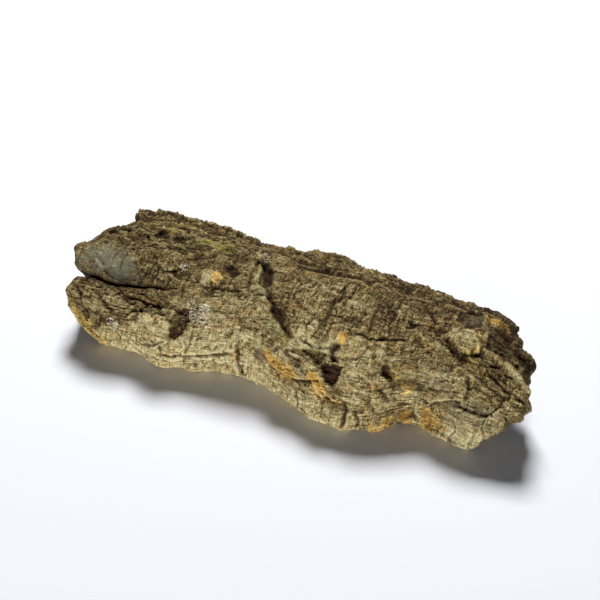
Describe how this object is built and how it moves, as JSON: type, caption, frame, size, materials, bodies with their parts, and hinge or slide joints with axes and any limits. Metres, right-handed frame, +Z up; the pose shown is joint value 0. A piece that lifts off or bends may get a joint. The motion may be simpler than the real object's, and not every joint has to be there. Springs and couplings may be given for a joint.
{
  "type": "piece of cork bark",
  "caption": "Arched slab of rough virgin cork bark with a deep crevice, overlapping plates and broken ends, lying on its two long edges.",
  "frame": {"origin": "middle of the bark's footprint, at the height of the surface it rests on", "axes": "+X along the bark's length, towards the end with the splintered grey tongue; +Y across it, away from the wavy light edge; +Z up, out of the weathered side"},
  "size_m": [0.4158, 0.1692, 0.074],
  "materials": {
    "cork": "dry, matte and weathered"
  },
  "bodies": {
    "root": {"cork_bark": "cork"}
  },
  "joints": []
}
